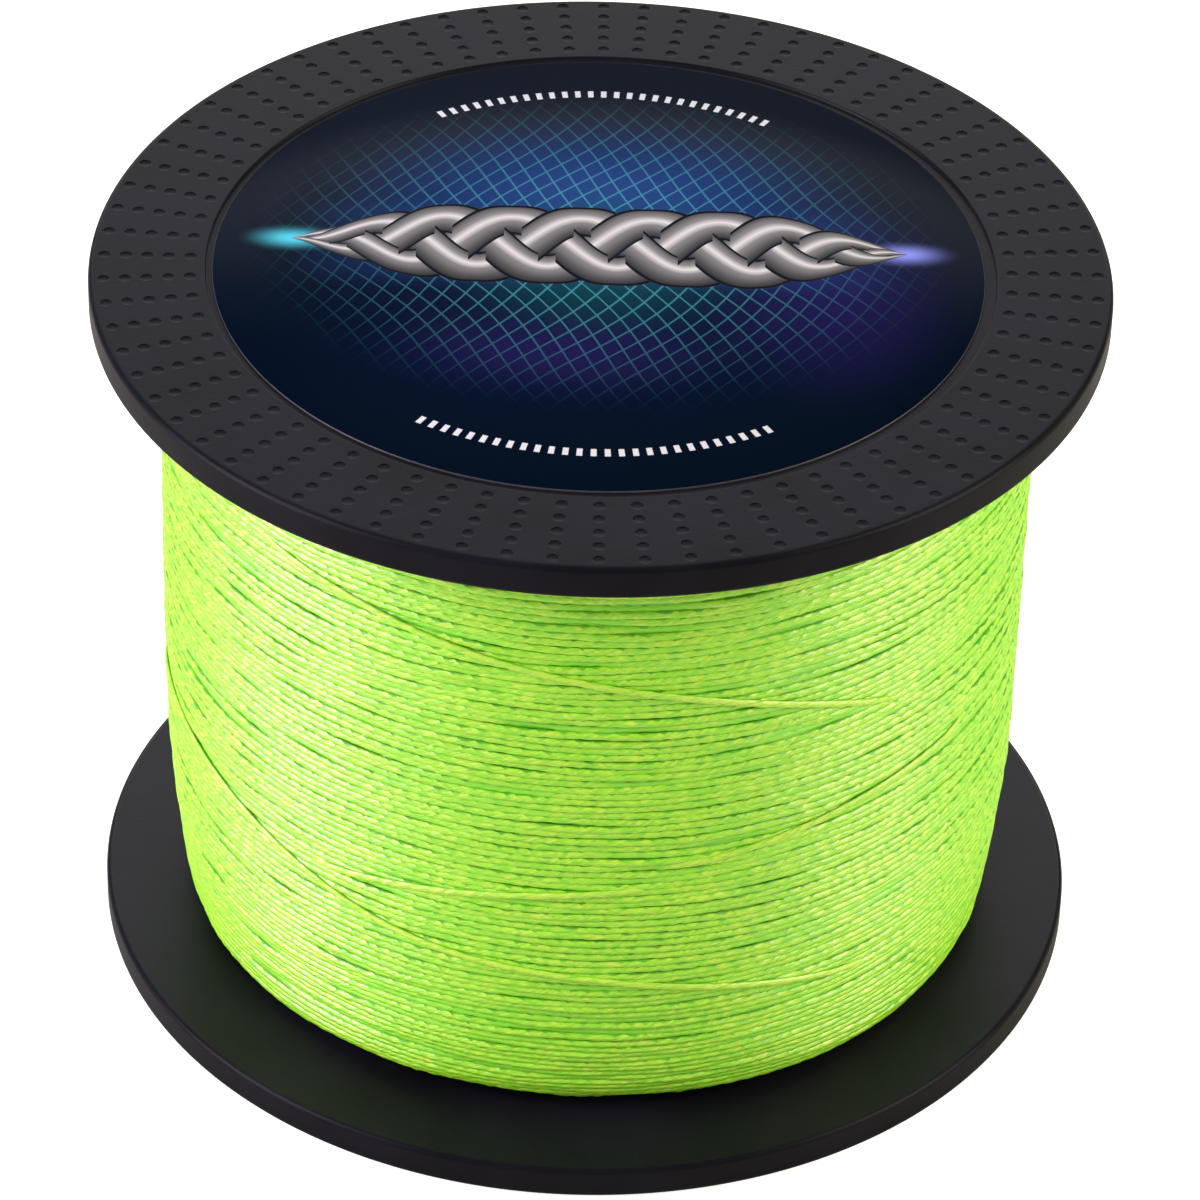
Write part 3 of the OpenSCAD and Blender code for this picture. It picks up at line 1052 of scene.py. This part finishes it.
# %% Turns
EDGE_CLEARANCE = 0.05 * MM
END_TURNS = 1.2
END_DIVE = 1.2 * MM
SHARED_WANDER = 0.3 * MM
WANDER_SPEED = 22.0
RIDE_SPEED = 28.0
DIP_REACH = (0.01, 0.04)
DIP_DEPTH = (0.06, 0.22)
EDGE_LIFT = 1.1 * MM
EDGE_LIFT_BEARING = math.radians(-98)
EDGE_LIFT_REACH = 9 * MM


def lay_turns(name, depth, direction, wander, ride, dips, first_turn, rings_per_turn, pieces):
    """One layer of turns from the lower flange to the upper one, cut into equal pieces."""
    edge = BRAID_HALF_W + EDGE_CLEARANCE
    count = int((outline_length - 2 * edge) / TURN_PITCH)
    steps = count * rings_per_turn
    turns = np.linspace(0, count, steps + 1)
    share = turns / count
    ends = np.clip(np.minimum(turns, count - turns) / END_TURNS, 0, 1)
    s = edge + share * (outline_length - 2 * edge)
    s = s + ends * (shared_wave(turns, share, SHARED_WANDER)
                    + own_wave(turns, wander, WANDER_SPEED))
    sunk = own_wave(turns, ride, RIDE_SPEED)
    for _ in range(dips):
        place, reach = rng.uniform(2, count - 2), rng.uniform(*DIP_REACH)
        size = rng.uniform(*DIP_DEPTH) * MM
        sunk = sunk + size * np.exp(-((turns - place) / reach) ** 2)
    deep = depth + sunk + END_DIVE * (1 - ends) ** 2
    bearing = direction * 2 * math.pi * (turns + first_turn)
    radius, height = on_outline(s, BRAID_HALF_T + deep)
    raised = np.clip(np.cos(bearing - EDGE_LIFT_BEARING), 0, 1) ** 3
    near_edge = np.clip(1 - (height - FLANGE_T) / EDGE_LIFT_REACH, 0, 1)
    height = height + EDGE_LIFT * raised * near_edge
    centres = np.column_stack([radius * np.cos(bearing), radius * np.sin(bearing), height])
    distance = distance_along(centres)
    picks = pick_places(distance)
    print(f"{name}: {count} turns, {distance[-1]:.1f} m of line")
    made = []
    for i in range(pieces):
        part = slice(i * steps // pieces, (i + 1) * steps // pieces + 1)
        made.append(swept_braid(f"{name}_{i + 1}", centres[part], BRAID_HALF_W, BRAID_HALF_T,
                                [each[part] for each in picks], sunk[part]))
    return made


# %% Both layers
turn_pieces = lay_turns("line_turns", depth=0.0, direction=-1, wander=0.065 * MM,
                        ride=0.045 * MM, dips=480, first_turn=0.25,
                        rings_per_turn=400, pieces=3)
under_pieces = lay_turns("line_under_turns", depth=0.36 * MM, direction=1,
                         wander=0.05 * MM, ride=0.03 * MM, dips=0, first_turn=0.5,
                         rings_per_turn=120, pieces=1)

# %% [markdown]
# ## Braided line: strands that cross
# The guide of the winder turns back at the flanges, and here and there a turn
# runs askew over the others. These strands are pulled flat on top of the rows.
# Each follows a few places given as bearing in degrees and height in millimetres,
# and both of its ends dive between the rows.

# %% Crossing strands
CROSSING_HALF_W = 0.38 * MM
CROSSING_HALF_T = 0.2 * MM
CROSSING_BEDDING = 0.1 * MM
CROSSING_DIVE = 0.75 * MM
DIVE_DEGREES = 9
STEP_DEGREES = 0.9
EASE_STEPS = 14
CROSSINGS = [
    [(-140, 65.4), (-127, 64.3), (-109, 61.4), (-90, 58.7), (-70, 55.3), (-50, 50),
     (-43, 48)],
    [(-131, 28.6), (-123, 29.7), (-103, 32), (-89, 33.5), (-78, 33.7)],
    [(-178, 33), (-165, 32.3), (-152, 31.3), (-136, 29), (-123, 26), (-112, 24), (-94, 23),
     (-77, 21), (-59, 18), (-46, 16)],
    [(-82, 35.8), (-72, 36.7), (-55, 38.7), (-41, 39.7), (-28, 40.4)],
    [(28, 57), (46, 53.5), (70, 47.5), (96, 41.5), (118, 38.5)],
    [(62, 21), (84, 23.8), (108, 25.6), (131, 29.4), (150, 31)],
    [(120, 66), (142, 61.8), (168, 58.2), (186, 56.5)],
]


def crossing_strand(route):
    """A flat strand through the places of a route, with its corners eased."""
    bearings, heights = np.array(route, float).T
    fine = np.arange(bearings[0], bearings[-1], STEP_DEGREES)
    smooth_z = np.interp(fine, bearings, heights)
    padded = np.pad(smooth_z, EASE_STEPS, mode="reflect", reflect_type="odd")
    window = np.ones(2 * EASE_STEPS + 1) / (2 * EASE_STEPS + 1)
    smooth_z = np.convolve(padded, window, "valid")
    near_end = np.clip(np.minimum(fine - fine[0], fine[-1] - fine) / DIVE_DEGREES, 0, 1)
    lift = ((CROSSING_HALF_T - CROSSING_BEDDING) * near_end
            - CROSSING_DIVE * (1 - near_end) ** 2)
    radius, height = on_outline(s_at_height(smooth_z * MM), -lift)
    bearing = np.radians(fine)
    centres = np.column_stack([radius * np.cos(bearing), radius * np.sin(bearing), height])
    picks = pick_places(distance_along(centres))
    return swept_braid("crossing", centres, CROSSING_HALF_W, CROSSING_HALF_T, picks)


crossings = join("line_crossing_strands", [crossing_strand(route) for route in CROSSINGS])

# %% [markdown]
# ## Braided line: the wound mass
# Under the two modelled layers the package is solid line. A lathed body fills
# that space, a layer below the turns, and closes every gap between them.

# %% Wound mass
MASS_DEPTH = 0.85 * MM
MASS_CLEARANCE = 0.3 * MM
MASS_POINTS = 60
mass_r, mass_z = on_outline(np.linspace(0, outline_length - OUTLINE_STEP, MASS_POINTS),
                            MASS_DEPTH)
mass_low, mass_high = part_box("line_package")
mass_bore = BARREL_R + MASS_CLEARANCE
mass_z = np.clip(mass_z, mass_low.z, mass_high.z)
mass_outline = [(mass_bore, mass_low.z), *zip(mass_r, mass_z), (mass_bore, mass_high.z)]
line_mass = lathe("line_wound_mass", mass_outline, steps=144)
smooth(line_mass, 50)
print(f"wound mass: {2 * max(mass_r) / MM:.1f} mm across")

# %% [markdown]
# ## Braid finish
# Seen close, a braid is rows of small slanted pillows, one row on each edge, with
# fine fibres that lean to both sides. Both come from the UV map, where one step of
# u is one pick. The pillows and fibres are the bump, and the same heights colour
# the braid: raised parts are painted paler, as highlight, and the valleys a deeper
# green, as shade. Where two turns meet, the flanks carry painted shade, in slanted
# dashes that break off and start again. Some stretches are paler or deeper than
# others, and where a row lies sunk, it is painted deep green all over as shade.
# Drawn fibre is glossy, but it scatters its highlight, so the gloss is strong and
# the roughness middling.

# %% Weave
PICK_LEAN = 0.7
PICK_RAGGED = 0.6
FIBRE_LEAN = math.radians(24)
FIBRE_LENGTH = 0.85
FIBRE_WIDTH = 0.12
BRAID_ROUND = 1.25


def fibres(finish, lean):
    """Streaks of noise along fibres that lean on the line by an angle. Lengths in picks."""
    flat = finish.nodes.new("ShaderNodeMapping")
    flat.inputs["Scale"].default_value = (1, BRAID_ROUND, 1)
    flat.inputs["Rotation"].default_value = (0, 0, lean)
    finish.links.new(finish.place("UV"), flat.inputs["Vector"])
    drawn = finish.nodes.new("ShaderNodeMapping")
    drawn.inputs["Scale"].default_value = (1 / FIBRE_LENGTH, 1 / FIBRE_WIDTH, 1)
    finish.links.new(flat.outputs[0], drawn.inputs["Vector"])
    return finish.noise(drawn.outputs[0], 1.0, 2)


def drift(finish, rate, shift):
    """Slow noise along the line alone. The rate is per pick."""
    return finish.noise(finish.place("UV", scale=(rate, 0, 0), shift=(shift, 0, 0)), 1.0, 2)


def weave(finish):
    """Place round and along the line, unevenness, distance from the crown, pillows."""
    u, v, _ = finish.axes(finish.place("UV"))
    uneven = finish.noise(finish.place("UV", scale=(1.1, 4, 0)), 1.0, 2)
    uneven = finish.math("SUBTRACT", uneven, 0.5)
    flank = finish.math("ABSOLUTE", finish.math("SUBTRACT", v, 0.5))
    low_row = finish.math("MULTIPLY", finish.math("LESS_THAN", v, 0.5), 0.5)
    lean = finish.math("MULTIPLY_ADD", flank, -4 * PICK_LEAN, PICK_LEAN)
    along = finish.math("ADD", finish.math("ADD", u, lean), low_row)
    along = finish.math("MULTIPLY_ADD", uneven, PICK_RAGGED, along)
    long_wave = finish.math("SINE", finish.math("MULTIPLY", along, math.pi))
    long_wave = finish.math("ABSOLUTE", long_wave)
    wide_wave = finish.math("SINE", finish.math("MULTIPLY", flank, 4 * math.pi))
    wide_wave = finish.math("MAXIMUM", wide_wave, 0)
    pillow = finish.math("MULTIPLY", finish.math("POWER", long_wave, 0.5),
                         finish.math("POWER", wide_wave, 0.4))
    return v, along, uneven, flank, pillow


# %% [markdown]
# The colour is built in this order: the painted highlight and shade of the fibres
# and pillows, the long stretches, the painted shade of rows that lie sunk, and last
# the painted shade in dashes on the flanks. The lower layer and the strands that
# cross use the same finish with other strengths. Each slow noise is given by its
# rate per pick and a shift that keeps it apart.


# %% Greens of the braid
# The darkest green is painted shade, used where turns meet and in the depth of the package.
GREEN_SHADE = (0.08, 0.43, 0.0001)
GREEN_DARK_TONE_AND_SHADE = (0.19, 0.75, 0.0002)
GREEN_BODY = (0.34, 0.81, 0.001)
GREEN_PALE_AND_HIGHLIGHT = (0.55, 0.88, 0.06)
FIBRE_LIGHT_AND_SHADE = 4.2
PILLOW_LIGHT_AND_SHADE = 0.4
STRETCH_CONTRAST = 1.1
DASH_SLANT = 0.12
DASH_RAGGED = 0.2
BRAID_RELIEF = 0.05 * MM
STRETCHES = (0.3, 3)
PATCHES = (0.13, 9)
DASH_GAPS = (0.33, 4)


def fibre_colour(finish, fibre, pillow, paleness_and_light):
    """The green of a place: painted highlight on raised fibres and pillow crowns, painted shade in
    their valleys and where the line lies deep.
    """
    # Raised fibres and pillow crowns are painted paler, as highlight, and their valleys deeper, as
    # shade.
    tone = finish.math("MULTIPLY_ADD", finish.math("SUBTRACT", fibre, 0.5), FIBRE_LIGHT_AND_SHADE, paleness_and_light)
    tone = finish.math("MULTIPLY_ADD", pillow, PILLOW_LIGHT_AND_SHADE, tone)
    stretch = finish.math("SUBTRACT", drift(finish, *STRETCHES), 0.5)
    tone = finish.math("MULTIPLY_ADD", stretch, STRETCH_CONTRAST, tone)
    colour = finish.ramp(tone, [(0.0, GREEN_DARK_TONE_AND_SHADE), (0.5, GREEN_BODY), (1.0, GREEN_PALE_AND_HIGHLIGHT)])
    patch = finish.spread(drift(finish, *PATCHES), 0.54, 0.68, 0, 0.35)
    colour = finish.mix(patch, colour, GREEN_DARK_TONE_AND_SHADE)
    # Rows that lie deeper are painted a deeper green, as shade.
    depth = finish.nodes.new("ShaderNodeAttribute")
    depth.attribute_name = "sunk"
    sunk = finish.spread(depth.outputs["Fac"], 0.05, 0.25, 0, 0.9)
    return finish.mix(sunk, colour, GREEN_DARK_TONE_AND_SHADE)


def flank_shade_dashes(finish, v, along, uneven, flank, strength):
    """1 in the slanted dashes of painted shade where turns meet, and 0 on the crown."""
    step = finish.math("SUBTRACT", finish.math("FRACT", along), 0.5)
    upper = finish.math("MULTIPLY_ADD", finish.math("GREATER_THAN", v, 0.5), 2, -1)
    slant = finish.math("MULTIPLY", finish.math("MULTIPLY", step, upper), DASH_SLANT)
    ragged = finish.math("ADD", flank, slant)
    ragged = finish.math("MULTIPLY_ADD", uneven, DASH_RAGGED, ragged)
    gap = finish.spread(drift(finish, *DASH_GAPS), 0.36, 0.56, 0.35 * strength, strength)
    return finish.math("MULTIPLY", finish.spread(ragged, 0.14, 0.19), gap)


# %% Braid finishes
def braid_finish(name, below=0.0, paleness_and_light=0.2, flank_shade=1.0):
    """The weave as colour and bump, with painted highlight on top and painted shade on the flanks
    and on the lower layer.
    """
    finish = Finish(name, Roughness=0.41, IOR=1.66, Specular_IOR_Level=1.0,
                    Specular_Tint=(1, 0.94, 0.94, 1))
    v, along, uneven, flank, pillow = weave(finish)
    rising = fibres(finish, FIBRE_LEAN)
    falling = fibres(finish, -FIBRE_LEAN)
    fibre = finish.math("MULTIPLY_ADD", rising, 0.65, finish.math("MULTIPLY", falling, 0.35))
    colour = fibre_colour(finish, fibre, pillow, paleness_and_light)
    # The flanks where turns meet get painted shade, in dashes of the shade green.
    groove_shade = flank_shade_dashes(finish, v, along, uneven, flank, flank_shade)
    colour = finish.mix(groove_shade, colour, GREEN_SHADE)
    colour = finish.mix(below, colour, GREEN_SHADE)
    finish.paint(colour)
    relief = finish.math("MULTIPLY_ADD", pillow, 0.6, finish.math("MULTIPLY", fibre, 2))
    finish.bump(relief, BRAID_RELIEF)
    return finish.material


braid = braid_finish("braided_line")
# The lower layer is painted half way to the shade green, as the shade of the turns over it.
braid_below = braid_finish("braided_line_below", below=0.5)
# The strands that cross ride on top, so they are painted paler, as if lit, with less painted shade
# on their flanks.
braid_crossing = braid_finish("braided_line_crossing", paleness_and_light=0.5, flank_shade=0.3)
print("braid finishes:", braid.name, braid_below.name, braid_crossing.name)

# %% [markdown]
# The wound mass shows only in the depth of a gap, so its rows are noise that is
# stretched round the package, as colour and as bump.

# %% Wound mass finish and dressing
ROW_SCALE = 1100
wound = Finish("wound_line", Roughness=0.6)
rows = wound.noise(wound.place(scale=(0.05, 0.05, 1)), ROW_SCALE, 2)
# The stripes of the noise go from the painted shade green to the body green.
wound.paint(wound.mix(rows, GREEN_SHADE, GREEN_BODY))
wound.bump(rows, 0.2 * MM)

dress(turn_pieces[0], braid, "braided_line", "line_outer_turns")
for piece in turn_pieces[1:]:
    dress(piece, braid, "braided_line")
for piece in under_pieces:
    dress(piece, braid_below, "braided_line")
dress(crossings, braid_crossing, "braided_line")
dress(line_mass, wound.material, "braided_line", "line_package")

# %% [markdown]
# ## Floor and light
# The spool stands on a plain pale floor, which lies a hair under it, so that the
# two faces can't flicker through each other. To the camera the floor also glows,
# which takes it to white and keeps the spool's soft shadow, and a little of that
# glow is left in a gloss. A soft lamp low on the left is the key and one on the
# right fills. A faint one in front opens the middle of the line. Two behind it, a
# low one and a high one, lift the tops and rims of the flanges off their black.
# Each tint is slight. A lamp is given by its bearing and its rise in degrees, its
# distance, width and height in metres, its power in watts and its tint.

# %% Floor
FLOOR_SIZE = 6
FLOOR_GAP = 0.1 * MM
FLOOR_COLOUR = (0.66, 0.65, 0.57, 1)
FLOOR_GLOW = 0.8
FLOOR_GLOW_IN_GLOSS = 0.12
bpy.ops.object.select_all(action="DESELECT")
bpy.ops.mesh.primitive_plane_add(size=FLOOR_SIZE)
floor = bpy.context.object
floor.name = floor.data.name = "floor"
floor.data.transform(Matrix.Translation((0, 0, -FLOOR_GAP)))
paper = Finish("pale_floor", Roughness=0.9, Specular_IOR_Level=0.0)
paper.paint(FLOOR_COLOUR)
rays = paper.nodes.new("ShaderNodeLightPath")
seen = paper.math("MAXIMUM", rays.outputs["Is Camera Ray"],
                  rays.outputs["Is Transmission Ray"])
seen = paper.math("MULTIPLY_ADD", rays.outputs["Is Glossy Ray"], FLOOR_GLOW_IN_GLOSS, seen)
paper.shader.inputs["Emission Color"].default_value = (1, 1, 1, 1)
paper.feed(paper.shader.inputs["Emission Strength"], paper.math("MULTIPLY", seen, FLOOR_GLOW))
floor.data.materials.append(paper.material)
print("floor:", FLOOR_SIZE, "m square")

# %% Lamps
SPOOL_MIDDLE = Vector((0, 0, 40 * MM))


def soft_lamp(name, bearing, rise, distance, wide, high, power, colour=(1, 1, 1)):
    """A rectangular lamp that looks at the middle of the spool."""
    lamp = bpy.data.lights.new(name, "AREA")
    lamp.shape = "RECTANGLE"
    lamp.size = wide
    lamp.size_y = high
    lamp.energy = power
    lamp.color = colour
    obj = add_object(name, lamp)
    b, h = math.radians(bearing), math.radians(rise)
    away = Vector((math.cos(h) * math.cos(b), math.cos(h) * math.sin(b), math.sin(h)))
    obj.location = SPOOL_MIDDLE + distance * away
    obj.rotation_euler = away.to_track_quat("Z", "Y").to_euler()


LAMPS = [
    ("key_left", -163, 22, 0.8, 0.42, 0.65, 10.1, (1, 0.85, 0.96)),
    ("fill_right", -13, 25, 0.9, 0.4, 0.7, 8.5, (1, 0.86, 0.68)),
    ("front", -90, 40, 1.2, 0.5, 0.5, 0.7, (1, 1, 0.6)),
    ("low_back", 90, 21, 1.0, 1.2, 0.4, 4.2),
    ("top_back", 92, 68, 1.0, 1.0, 0.6, 3.4),
]
for lamp_values in LAMPS:
    soft_lamp(*lamp_values)
print(len(LAMPS), "lamps")

# %% World
WORLD_LIGHT = 0.08
world = bpy.data.worlds.new("studio")
bpy.context.scene.world = world
world.use_nodes = True
background = world.node_tree.nodes["Background"]
background.inputs["Color"].default_value = (1, 1, 1, 1)
background.inputs["Strength"].default_value = WORLD_LIGHT
print("world light:", WORLD_LIGHT)

# %% Finish
bpy.context.scene.view_settings.view_transform = "Standard"
